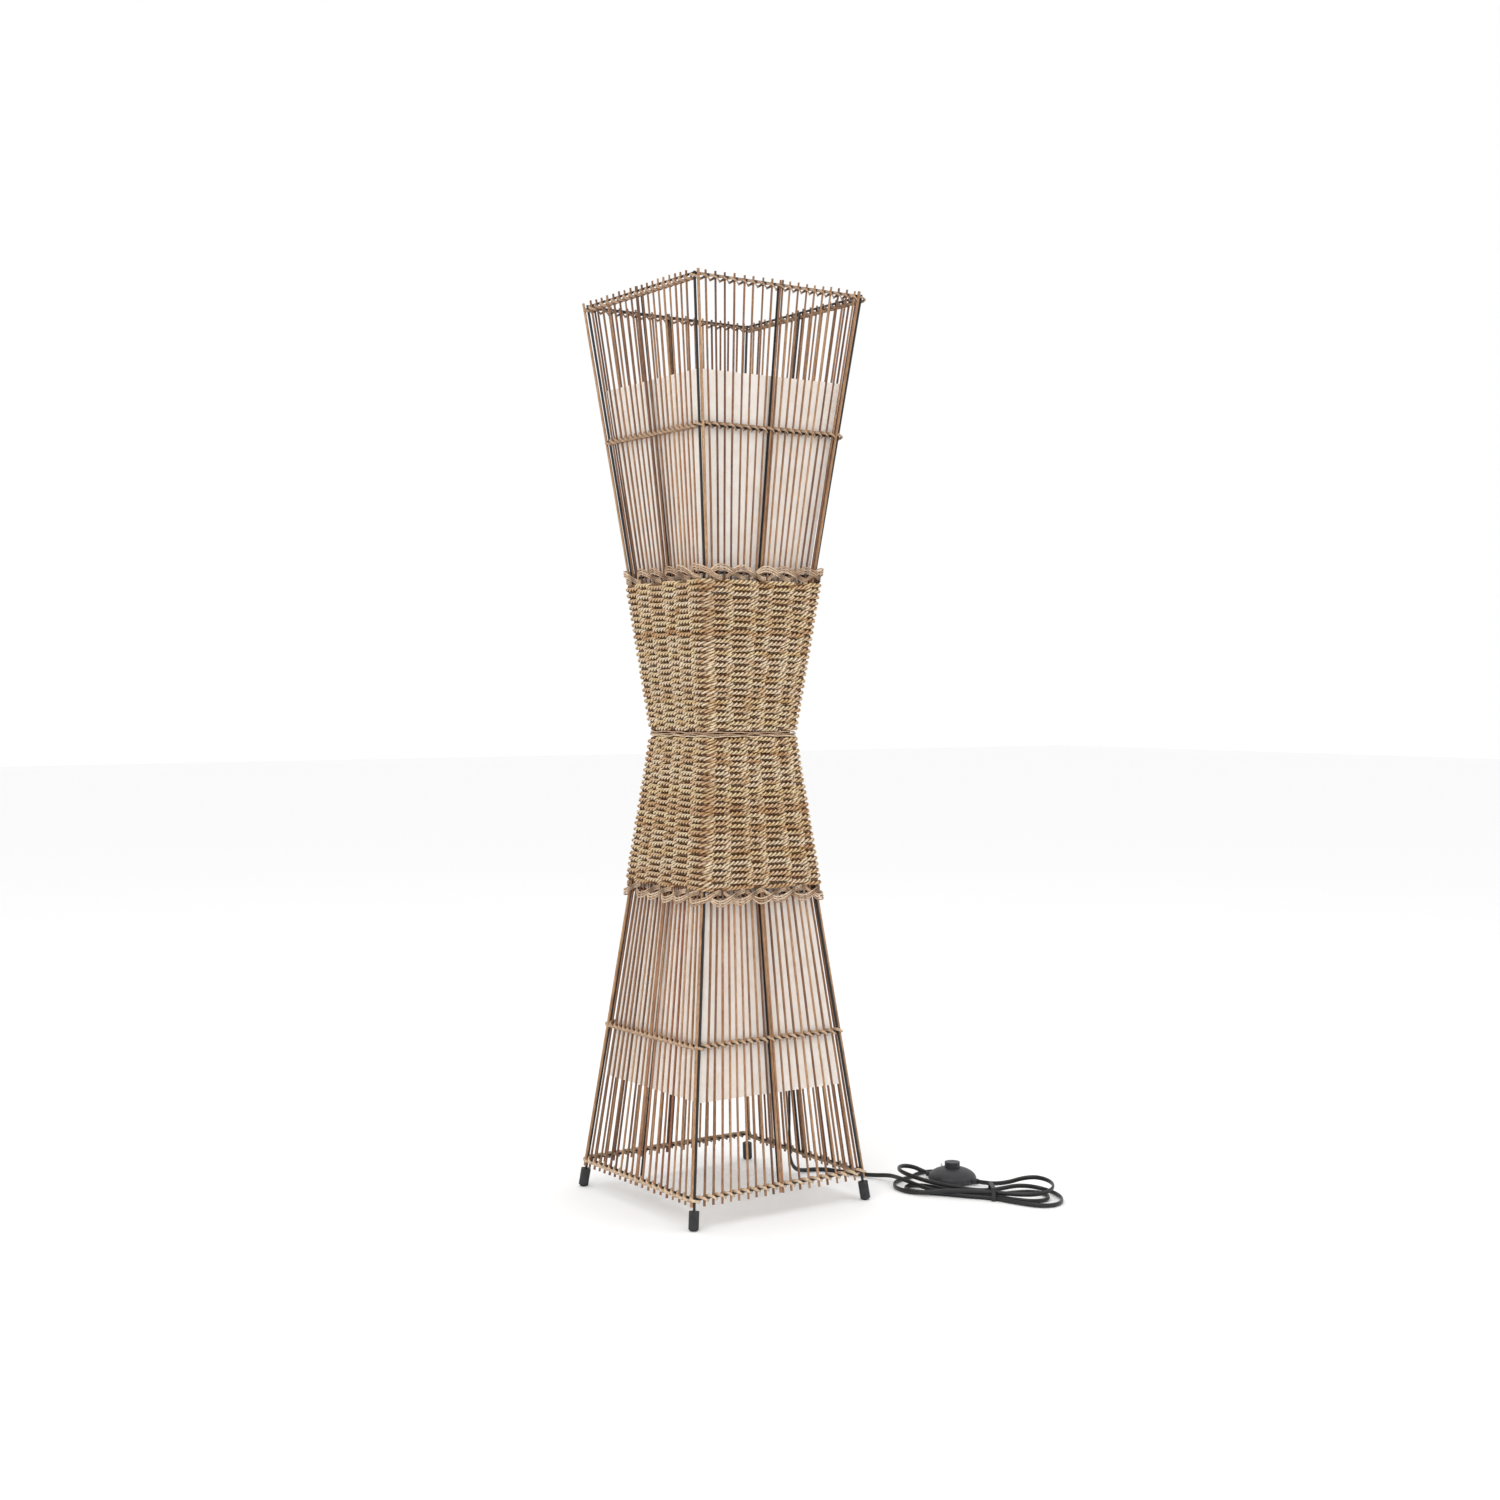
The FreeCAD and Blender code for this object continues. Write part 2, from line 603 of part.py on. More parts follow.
def switch_case():
    """The dish, with a boot for each cord, and the domed cover with its two screw bosses."""
    slab = box("switch_slab", "80", "80", cell("switch_seam"),
               SWITCH * FreeCAD.Placement(Vector(-40, -40, 0), FreeCAD.Rotation()))
    dish = combine(
        "Common", "switch_dish", lens("switch_bowl", cell("switch_round"), cell("dish_drop")), slab
    )
    inner_round = f"{cell('switch_round')} - {cell('switch_wall')}"
    hollow = turned("switch_hollow", "24", "10", at_switch(0, 0, size("switch_wall") + 0.2))
    boots = []
    for side in (-1, 1):
        boot = doc.addObject("Part::Cone", f"switch_boot_{'in' if side < 0 else 'out'}")
        bind(boot, Radius1="4", Radius2="3.4", Height=f"{BOOT_REACH} - 27")
        boot.Placement = at_switch(side * 27, 0, size("switch_seam"), Vector(side, 0, 0))
        boots.append(boot)
    holes = []
    for side in (-1, 1):
        spot = side * size("screw_reach")
        holes.append(turned(f"screw_hole_{side + 1}", "1.5", "10", at_switch(0, spot, -1)))
        holes.append(turned(f"screw_recess_{side + 1}", "2.8", "2", at_switch(0, spot, -1)))
    dish = combine("Cut", "switch_dish_hollow", fuse("switch_dish_boots", [dish] + boots),
                   fuse("switch_dish_holes", [hollow] + holes))
    node(dish, "switch_base")

    above = box("switch_above", "80", "80", "40",
                SWITCH * FreeCAD.Placement(Vector(-40, -40, size("switch_seam")),
                                           FreeCAD.Rotation()))
    dome = combine(
        "Common", "switch_dome", lens("switch_crown", cell("switch_round"), cell("dome_rise")),
        above,
    )
    under = lens("switch_under", inner_round, f"{cell('dome_rise')} - {cell('switch_wall')}")
    shell = combine("Cut", "switch_shell", dome, under)
    bosses, bores = [], []
    for side in (-1, 1):
        spot = side * size("screw_reach")
        bosses.append(turned(f"screw_boss_{side + 1}", "3.2", "12.2", at_switch(0, spot, 2.6)))
        bores.append(turned(f"boss_bore_{side + 1}", "1.45", "8", at_switch(0, spot, 2)))
    mouth = turned("button_mouth", f"{cell('button_round')} + {cell('button_clear')}", "40",
                   at_switch(0, 0, 8))
    notches = [
        turned(f"boot_notch_{side + 1}", "4.1", "12",
               at_switch(side * 25, 0, size("switch_seam"), Vector(side, 0, 0)))
        for side in (-1, 1)
    ]
    cover = combine("Cut", "switch_cover", fuse("switch_cover_bosses", [shell] + bosses),
                    fuse("switch_cover_holes", bores + [mouth] + notches))
    node(cover, "switch_cover")


def switch_button():
    """The push button: a hollow cap with a flange that stops it under the cover."""
    stem = turned("button_stem", cell("button_round"),
                  f"{cell('button_top')} - {cell('button_bottom')}",
                  at_switch(0, 0, size("button_bottom")))
    flange = turned("button_flange", cell("flange_round"), cell("flange_thick"),
                    at_switch(0, 0, size("button_bottom")))
    whole = combine("Fuse", "button_whole", stem, flange)
    seat = turned("button_seat", "7", "9", at_switch(0, 0, size("button_bottom") - 0.01))
    node(combine("Cut", "switch_button", whole, seat), "switch_button")


SPRING_STEPS = 8  # straight runs in each turn


def switch_inside():
    """The return spring, the two brass contacts and the two case screws."""
    base_floor = size("switch_wall") + 0.2
    seat_top = size("button_bottom") + 9
    wire = size("spring_wire")
    rise = seat_top - base_floor - 2 * wire - 0.1
    steps = round(SPRING_STEPS * rise / size("spring_pitch"))
    around = [2 * math.pi * step / SPRING_STEPS for step in range(steps + 1)]
    coil = [
        (size("spring_round") * math.cos(angle), size("spring_round") * math.sin(angle),
         rise * step / steps)
        for step, angle in enumerate(around)
    ]
    spring = tube("switch_spring", coil, wire, at_switch(0, 0, base_floor + wire + 0.05))
    node(spring, "switch_spring")

    strips = [
        box(f"contact_{side + 1}", "10", "4", "0.5",
            SWITCH * FreeCAD.Placement(Vector(side * 15 - 5, -2, base_floor + 0.05),
                                       FreeCAD.Rotation()))
        for side in (-1, 1)
    ]
    group("switch_contacts", strips)

    screws = []
    for side in (-1, 1):
        spot = side * size("screw_reach")
        shank = turned(f"screw_shank_{side + 1}", cell("screw_round"), "8", at_switch(0, spot, 0.2))
        head = turned(f"screw_head_{side + 1}", cell("screw_head"), "0.7", at_switch(0, spot, 0.2))
        screws.append(combine("Fuse", f"case_screw_{side + 1}", shank, head))
    group("switch_screws", screws)


switch_case()
switch_button()
switch_inside()

# ---------------------------------------------------------------- plug and the cord's far part
PLUG = HANK * FreeCAD.Placement(Vector(-36, 121.5, 0), FreeCAD.Rotation(Vector(0, 0, 1), 90))
block = box(
    "plug_block", cell("plug_length"), cell("plug_width"), cell("plug_depth"),
    PLUG * FreeCAD.Placement(
        Vector(-size("plug_length") / 2, -size("plug_width") / 2, 0), FreeCAD.Rotation()
    ),
)
doc.recompute()
plug = doc.addObject("Part::Fillet", "plug_body")
plug.Base = block
plug.Edges = [
    (number, size("plug_round"), size("plug_round"))
    for number, edge in enumerate(block.Shape.Edges, start=1)
    if abs(edge.Vertexes[0].Z - edge.Vertexes[1].Z) > 1
]
node(plug, "plug_body")
group("plug_blades", [
    box(
        f"plug_blade_{side + 1}", cell("blade_length"), cell("blade_thick"),
        cell("blade_width"),
        PLUG * FreeCAD.Placement(
            Vector(
                size("plug_length") / 2,
                side * size("blade_spacing") / 2 - size("blade_thick") / 2,
                (size("plug_depth") - size("blade_width")) / 2,
            ),
            FreeCAD.Rotation(),
        ),
    )
    for side in (-1, 1)
])

SWITCH_TAIL = [(-6.5, 60.4, 5), (5, 52.5, 5.2), (17, 44, 6), (29, 37, 7.2), (42, 31, 9)]
PLUG_TAIL = [(-44, 118, 3.75), (-52, 118, 3.75), (-61, 118.3, 4.2), (-71, 118.8, 5)]
node(tube("cord_switch_tail", SWITCH_TAIL, size("cord_round"), HANK), "cord_switch_tail")
node(tube("cord_plug_tail", PLUG_TAIL, size("cord_round"), HANK), "cord_plug_tail")

# ---------------------------------------------------------------- check and write
doc.recompute()
faulty = [
    thing.Label for thing in doc.Objects if {"Invalid", "Error"} & set(thing.State)
]
faulty += [
    piece.Label for piece in nodes if piece.Shape.isNull() or not piece.Shape.isValid()
]
if faulty:
    raise RuntimeError(f"these did not build: {faulty}")

os.makedirs("parts", exist_ok=True)
for piece in nodes:
    piece.Shape.exportStep(f"parts/{piece.Label}.step")
print(f"{len(nodes)} sub-parts written")
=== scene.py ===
"""Hourglass floor lamp: cane sticks and a seagrass weave on a black wire frame.

Its flex lies beside it in a hank, with the foot switch and the plug.

Metres, +Z up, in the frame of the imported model. The lamp stands on the origin and its four faces
are numbered 0 front (-Y), 1 right (+X), 2 back (+Y) and 3 left (-X).
"""

import bpy
import math
import random
from mathutils import Matrix, Vector


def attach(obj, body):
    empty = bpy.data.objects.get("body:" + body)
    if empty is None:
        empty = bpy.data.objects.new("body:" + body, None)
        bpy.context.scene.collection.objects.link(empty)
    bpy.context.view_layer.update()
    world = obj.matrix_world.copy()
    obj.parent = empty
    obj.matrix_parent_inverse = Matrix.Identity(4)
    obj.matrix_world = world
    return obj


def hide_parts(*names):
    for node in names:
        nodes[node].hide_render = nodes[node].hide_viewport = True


MM = 0.001
# the camera looks along this heading, and the hank lies square to it
LOOK_TURN = math.radians(-34.2)

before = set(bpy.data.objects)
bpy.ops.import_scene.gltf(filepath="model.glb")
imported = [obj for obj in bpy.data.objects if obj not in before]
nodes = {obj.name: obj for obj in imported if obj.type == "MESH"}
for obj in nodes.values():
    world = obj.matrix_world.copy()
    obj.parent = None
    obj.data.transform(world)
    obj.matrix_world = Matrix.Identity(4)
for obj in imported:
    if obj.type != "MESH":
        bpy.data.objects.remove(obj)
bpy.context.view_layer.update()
bpy.ops.object.select_all(action="DESELECT")


# ---------------------------------------------------------------- camera, light and floor
def studio():
    """The camera, a pale floor and soft light from both sides and above."""
    camera = bpy.data.cameras.new("camera")
    camera.lens, camera.sensor_width = 47.04, 36
    camera.shift_x, camera.shift_y = 0.0183, -0.0373
    eye = bpy.data.objects.new("camera", camera)
    eye.location = (-1.351, -1.988, 0.611)
    eye.rotation_euler = (math.radians(90), 0, LOOK_TURN)
    bpy.context.scene.collection.objects.link(eye)
    bpy.context.scene.camera = eye
    bpy.context.scene.view_settings.view_transform = "Standard"

    for name, energy, size, place in (
        ("key_light", 19, 1.2, (-1.9, -1.2, 2.2)),
        ("fill_light", 8, 1.6, (1.4, -2.2, 1.5)),
        ("top_light", 8, 2.0, (0.2, 0.6, 3.0)),
    ):
        bpy.ops.object.light_add(type="AREA", location=place)
        light = bpy.context.object
        light.name = name
        light.data.energy, light.data.size = energy, size
        aim = Vector((0.05, -0.05, 0.5)) - Vector(place)
        light.rotation_euler = aim.to_track_quat("-Z", "Y").to_euler()

    world = bpy.data.worlds.new("studio")
    world.use_nodes = True
    world.node_tree.nodes["Background"].inputs["Color"].default_value = (1, 1, 1, 1)
    world.node_tree.nodes["Background"].inputs["Strength"].default_value = 1.0
    bpy.context.scene.world = world

    bpy.ops.mesh.primitive_plane_add(size=30, location=(0, 0, -0.0002))
    floor = bpy.context.object
    floor.name = "floor"
    floor.data.materials.append(bpy.data.materials["pale_floor"])


# ---------------------------------------------------------------- finishes
def srgb(text):
    """A colour given as sRGB hex, as the linear values that shaders use."""
    channels = [int(text[at:at + 2], 16) / 255 for at in (1, 3, 5)]
    return (*(c / 12.92 if c < 0.04045 else ((c + 0.055) / 1.055) ** 2.4 for c in channels), 1)


def finish(name, colour, roughness, **sockets):
    """A new material, and its principled shader."""
    material = bpy.data.materials.new(name)
    material.use_nodes = True
    shader = material.node_tree.nodes["Principled BSDF"]
    shader.inputs["Base Color"].default_value = srgb(colour)
    shader.inputs["Roughness"].default_value = roughness
    for socket, value in sockets.items():
        shader.inputs[socket.replace("_", " ")].default_value = value
    return material, shader


def add(material, kind, inputs=None, links=None, **settings):
    """Adds a shader node: values by socket, the sockets that feed it, and its settings."""
    tree = material.node_tree
    made = tree.nodes.new(kind)
    for setting, value in settings.items():
        setattr(made, setting, value)
    for socket, value in (inputs or {}).items():
        made.inputs[socket].default_value = value
    for socket, source in (links or {}).items():
        tree.links.new(source, made.inputs[socket])
    return made


def join(material, source, target):
    """Feeds a socket from another."""
    material.node_tree.links.new(source, target)


def ramp(material, factor, *stops):
    """A colour ramp over a factor; stops are (place, hex) pairs."""
    node = add(material, "ShaderNodeValToRGB", links={"Fac": factor})
    for number, (place, colour) in enumerate(stops):
        if number < 2:
            stop = node.color_ramp.elements[number]
            stop.position = place
        else:
            stop = node.color_ramp.elements.new(place)
        stop.color = srgb(colour)
    return node.outputs["Color"]


def grain(material, scale, size_mm, detail=3.0):
    """Noise on object coordinates: size_mm is its grain, stretched by scale along each axis."""
    coordinates = add(material, "ShaderNodeTexCoord")
    stretched = add(
        material, "ShaderNodeMapping", inputs={"Scale": scale},
        links={"Vector": coordinates.outputs["Object"]},
    )
    noise = add(
        material, "ShaderNodeTexNoise", inputs={"Scale": 1 / (size_mm * MM), "Detail": detail},
        links={"Vector": stretched.outputs["Vector"]},
    )
    return noise.outputs["Fac"]


def relief(material, shader, height, depth_mm, strength=1.0):
    """Bumps the surface by a height field of the given depth."""
    bump = add(
        material, "ShaderNodeBump",
        inputs={"Distance": depth_mm * MM, "Strength": strength}, links={"Height": height},
    )
    join(material, bump.outputs["Normal"], shader.inputs["Normal"])


def mixed(material, factor, first, second, blend="MIX"):
    """Two colours mixed by a factor, which is a socket or a number."""
    node = add(material, "ShaderNodeMix", data_type="RGBA", blend_type=blend)
    for socket, source in ((0, factor), (6, first), (7, second)):
        if isinstance(source, (int, float, tuple)):
            node.inputs[socket].default_value = source
        else:
            join(material, source, node.inputs[socket])
    return node.outputs[2]


def shade_of(material):
    """How light this strand is among its fellows, from 0 to 1."""
    return add(material, "ShaderNodeAttribute", attribute_name="shade").outputs["Fac"]


def painted_shade_share(material):
    """How much painted shade a strand's surface gets where it lies in the shade of its neighbours,
    from 0 to 1.
    """
    return add(material, "ShaderNodeAttribute", attribute_name="painted_shade").outputs["Fac"]


def powder_coat():
    """Black powder coat on steel wire: satin, with a faint orange peel."""
    material, shader = finish("powder_coat", "#151416", 0.42)
    relief(material, shader, grain(material, (1, 1, 1), 0.9), 0.05, 0.5)
    patch_mask = grain(material, (1, 1, 0.3), 14)
    join(material, ramp(material, patch_mask, (0.35, "#121113"), (0.7, "#1E1C1E")),
         shader.inputs["Base Color"])
    return material


def moulded_rubber():
    """Moulded black rubber: matt, with a dusty bloom."""
    material, shader = finish("moulded_rubber", "#242425", 0.7)
    bloom = grain(material, (1, 1, 1), 5)
    join(material, ramp(material, bloom, (0.3, "#1D1D1E"), (0.75, "#313134")),
         shader.inputs["Base Color"])
    relief(material, shader, grain(material, (1, 1, 1), 0.7), 0.08, 0.6)
    return material


def rattan_core():
    """Split rattan core, dried and lightly oiled: long pores, each stick a tone of its own."""
    material, shader = finish("rattan_core", "#A87F5F", 0.55)
    tone = ramp(material, shade_of(material), (0.0, "#744D33"), (0.45, "#9F7551"),
                (0.88, "#C8A078"), (1.0, "#935434"))
    pores = grain(material, (1, 1, 0.02), 0.7, 2.0)
    streaks = ramp(material, pores, (0.32, "#8E7A66"), (0.62, "#FFFFFF"))
    blotches = ramp(material, grain(material, (1, 1, 0.25), 9, 2.0), (0.35, "#C9B8AC"),
                    (0.65, "#FFFFFF"))
    colour = mixed(material, 0.7, tone, streaks, "MULTIPLY")
    join(material, mixed(material, 0.6, colour, blotches, "MULTIPLY"), shader.inputs["Base Color"])
    relief(material, shader, pores, 0.12, 0.7)
    return material


def cane_peel():
    """Peel of the cane, soaked and bound on: dull tan, with its fibres along the strand."""
    material, shader = finish("cane_peel", "#A98672", 0.6)
    tone = ramp(material, shade_of(material), (0.0, "#A98A6F"), (0.5, "#CBAC8E"),
                (1.0, "#E2CBAE"))
    fibre = grain(material, (0.5, 0.5, 1), 1.1, 3.0)
    streaks = ramp(material, fibre, (0.3, "#8C7862"), (0.6, "#FFFFFF"))
    colour = mixed(material, 0.75, tone, streaks, "MULTIPLY")
    # painted shade: the peel is multiplied darker brown where it passes behind a stick or tucks
    # under its neighbours
    colour = mixed(material, painted_shade_share(material), colour, srgb("#6B4E37"), "MULTIPLY")
    join(material, colour, shader.inputs["Base Color"])
    relief(material, shader, fibre, 0.2, 0.8)
    return material


def twisted_seagrass():
    """Seagrass rope: dry straw tones with some green and brown blades, fine fibres, no shine."""
    material, shader = finish("twisted_seagrass", "#BCA176", 0.8)
    blades = grain(material, (0.35, 0.35, 1.4), 9, 2.0)
    tone = ramp(material, blades, (0.26, "#C9A97D"), (0.42, "#F6DFBA"), (0.56, "#FFF3DC"),
                (0.74, "#ECDDB4"))
    rope = ramp(material, shade_of(material), (0.0, "#DDC2A0"), (0.6, "#FFFFFF"),
                (1.0, "#F8F0D2"))
    colour = mixed(material, 0.8, tone, rope, "MULTIPLY")
    fibre = grain(material, (0.8, 0.8, 1), 0.8, 2.0)
    colour = mixed(material, 0.7, colour, ramp(material, fibre, (0.3, "#B09A7A"),
                                               (0.6, "#FFFFFF")), "MULTIPLY")
    # painted shade: the rope is multiplied darker brown in the groove between its plies and where
    # it passes under the sticks
    colour = mixed(material, painted_shade_share(material), colour, srgb("#74512F"), "MULTIPLY")
    # a brown patch runs down each rounded corner
    patch_mask = add(material, "ShaderNodeAttribute", attribute_name="corner").outputs["Fac"]
    patch = add(material, "ShaderNodeMath", operation="MULTIPLY",
                links={0: patch_mask, 1: ramp(material, grain(material, (1, 1, 0.5), 22, 1.0),
                                        (0.4, "#000000"), (0.65, "#BFBFBF"))}).outputs[0]
    join(material, mixed(material, patch, colour, srgb("#946A45")), shader.inputs["Base Color"])
    relief(material, shader, fibre, 0.35, 0.8)
    return material


def liner_film():
    """White lamp film laminated with fibre paper: matt and barely mottled, drawn opaque, though
    the real film lets light through.
    """
    material, shader = finish("liner_film", "#FCF5EC", 0.65)
    cloud = grain(material, (1, 1, 1), 18, 4.0)
    join(material, ramp(material, cloud, (0.35, "#F6ECE1"), (0.7, "#FEF9F3")),
         shader.inputs["Base Color"])
    relief(material, shader, grain(material, (1, 1, 1), 1.5), 0.05, 0.4)
    return material


def switch_shell():
    """Moulded ABS of the foot switch: dark grey, finely spark-eroded."""
    material, shader = finish("switch_shell", "#242428", 0.5)
    join(material, ramp(material, grain(material, (1, 1, 1), 6), (0.3, "#202024"),
                        (0.75, "#2A2A2F")), shader.inputs["Base Color"])
    relief(material, shader, grain(material, (1, 1, 1), 0.6), 0.06, 0.6)
    return material


def extruded_flex():
    """Extruded black PVC of the flat flex: smooth, with a soft shine."""
    material, shader = finish("extruded_flex", "#0D0D0E", 0.4)
    join(material, ramp(material, grain(material, (1, 1, 1), 12), (0.3, "#0B0B0C"),
                        (0.7, "#141416")), shader.inputs["Base Color"])
    relief(material, shader, grain(material, (1, 1, 1), 1.2), 0.04, 0.4)
    return material


def moulded_thermoset():
    """White thermoset of the lampholders and the junction box: dense and slightly glossy."""
    material, shader = finish("moulded_thermoset", "#E4E1DA", 0.32)
    join(material, ramp(material, grain(material, (1, 1, 1), 8), (0.3, "#DCD8D0"),
                        (0.7, "#EAE8E2")), shader.inputs["Base Color"])
    relief(material, shader, grain(material, (1, 1, 1), 1.0), 0.04, 0.4)
    return material


def opal_glass():
    """Opal glass of the bulbs: milky white with a glossy skin."""
    material, shader = finish("opal_glass", "#F4F3F0", 0.12, Coat_Weight=0.4)
    join(material, ramp(material, grain(material, (1, 1, 1), 25), (0.3, "#EFEEEA"),
                        (0.7, "#F8F8F6")), shader.inputs["Base Color"])
    return material


def metal(name, dark, light, roughness):
    """A bare or plated metal, with faint handling marks."""
    material, shader = finish(name, light, roughness, Metallic=1.0)
    marks = grain(material, (1, 1, 0.4), 3)
    join(material, ramp(material, marks, (0.3, dark), (0.7, light)), shader.inputs["Base Color"])
    relief(material, shader, grain(material, (1, 1, 1), 0.5), 0.03, 0.5)
    return material


def nylon_tie():
    """Moulded nylon of the ties: black with a waxy shine."""
    material, shader = finish("nylon_tie", "#1B1B1C", 0.5)
    relief(material, shader, grain(material, (1, 1, 1), 0.8), 0.05, 0.5)
    join(material, ramp(material, grain(material, (1, 1, 1), 4), (0.3, "#171718"),
                        (0.7, "#262628")), shader.inputs["Base Color"])
    return material


def pale_floor():
    """The studio floor: plain white paper."""
    material, shader = finish("pale_floor", "#FAFAFA", 0.9)
    relief(material, shader, grain(material, (1, 1, 1), 3), 0.02, 0.2)
    return material


FINISHES = {
    "black_wire": powder_coat(), "foot_rubber": moulded_rubber(), "cane": rattan_core(),
    "cane_peel": cane_peel(), "seagrass": twisted_seagrass(), "liner_film": liner_film(),
    "holder_plastic": moulded_thermoset(),
    "bulb_cap_metal": metal("nickel_plate", "#9C988F", "#C9C6BF", 0.3),
    "bulb_glass": opal_glass(),
    "plated_steel": metal("zinc_plate", "#8F9396", "#B9BDC0", 0.38),
    "brass_strip": metal("rolled_brass", "#9C7A3C", "#C9A459", 0.3),
    "switch_plastic": switch_shell(), "tie_plastic": nylon_tie(), "cord_pvc": extruded_flex(),
}
pale_floor()
studio()


# ---------------------------------------------------------------- how pieces are made
def place(piece, slot, *replaced, body="lamp"):
    """Gives a finished piece its material and its body, and hides the CAD nodes it stands for."""
    piece.data.materials.clear()
    piece.data.materials.append(FINISHES[slot])
    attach(piece, body)
    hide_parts(*replaced)


def section(name, points):
    """A closed outline that a strand is drawn with, in metres."""
    data = bpy.data.curves.new(name, "CURVE")
    data.dimensions = "2D"
    line = data.splines.new("POLY")
    line.points.add(len(points) - 1)
    for point, (x, y) in zip(line.points, points):
        point.co = (x, y, 0, 1)
    line.use_cyclic_u = True
    return bpy.data.objects.new(name, data)


def oval(name, wide_mm, thick_mm, sides, waist=0.0):
    """An oval section, drawn in at the waist where it has two cores or plies."""
    points = []
    for side in range(sides):
        angle = 2 * math.pi * side / sides
        pinch = 1 - waist * math.cos(angle) ** 2
        points.append((thick_mm / 2 * MM * math.cos(angle) * pinch,
                       wide_mm / 2 * MM * math.sin(angle)))
    return section(name, points)


def strands(name, lines, profile, closed=False, tilts=None, radii=None):
    """Draws a section along several lines of points and makes them one mesh.

    Tilts and radii hold a number for each point of each line.
    """
    data = bpy.data.curves.new(name, "CURVE")
    data.dimensions = "3D"
    data.twist_mode = "Z_UP"
    data.bevel_mode = "OBJECT"
    data.bevel_object = profile
    data.use_fill_caps = not closed
    for number, line in enumerate(lines):
        spline = data.splines.new("POLY")
        spline.points.add(len(line) - 1)
        for point, spot in zip(spline.points, line):
            point.co = (*spot, 1)
        if tilts:
            spline.points.foreach_set("tilt", tilts[number])
        if radii:
            spline.points.foreach_set("radius", radii[number])
        spline.use_cyclic_u = closed
        spline.use_smooth = True
    made = bpy.data.objects.new(name, data)
    bpy.context.scene.collection.objects.link(made)
    bpy.context.view_layer.objects.active = made
    made.select_set(True)
    bpy.ops.object.convert(target="MESH")
    made.select_set(False)
    return made


def give(piece, name, values):
    """Stores a number for each vertex, which a material reads by its name.

    Vertices past the last value get 0.
    """
    rest = [0.0] * (len(piece.data.vertices) - len(values))
    piece.data.attributes.new(name, "FLOAT", "POINT").data.foreach_set("value", values + rest)


def shade_strands(piece, shares, seed, lightest=1.0):
    """Gives each strand of a piece a shade of its own.

    The shares say how the piece's vertices are divided among its strands.
    """
    chance = random.Random(seed)
    darkest = 0.0 if lightest == 1.0 else 0.6
    values = []
    for share in shares:
        count = len(piece.data.vertices) * share // sum(shares)
        values += [chance.uniform(darkest, lightest)] * count
    values += [values[-1]] * (len(piece.data.vertices) - len(values))
    give(piece, "shade", values)


# ---------------------------------------------------------------- the frame's shape
WAIST_HEIGHT, HALF_HEIGHT = 563 * MM, 529 * MM
RIM_HALF, WAIST_HALF = 120.6 * MM, 57.8 * MM
BAND_RISE, WEAVE_RISE = 360 * MM, 191 * MM
CANE_OFFSET = 3.15 * MM


def half_at(rise):
    """Half the frame's width at a height above or below the waist."""
    return WAIST_HALF + (RIM_HALF - WAIST_HALF) / HALF_HEIGHT * abs(rise)


def on_face(index, across, out, rise):
    """A point of a face: across it, out from the axis, above the waist."""
    return Matrix.Rotation(index * math.pi / 2, 3, "Z") @ Vector((across, -out, 0)) + Vector(
        (0, 0, WAIST_HEIGHT + rise)
    )


# ---------------------------------------------------------------- flex
FLEX_SECTION = (5.4, 3.2)  # mm
HANK_MIDDLE = (0.2522, -0.2052)


def in_hank(x, y, z=0.0):
    """A point given from the middle of the hank, along it and back from it."""
    along, back = math.cos(LOOK_TURN), math.sin(LOOK_TURN)
    return (HANK_MIDDLE[0] + x * along - y * back, HANK_MIDDLE[1] + x * back + y * along, z)


LEAD_ROUTE = [
    (0.1005, 0, 0.131), (0.1028, 0.002, 0.106), (0.105, 0.0045, 0.078), (0.107, 0.008, 0.050),
    (0.110, 0.011, 0.0275), (0.1205, 0.017, 0.010), (0.1375, 0.023, 0.0032),
    (0.154, 0.022, 0.0028), (0.167, 0.0135, 0.0028), (0.175, -0.002, 0.0028),
    (0.184, -0.026, 0.0028), (0.197, -0.050, 0.0038), (0.205, -0.070, 0.007),
]
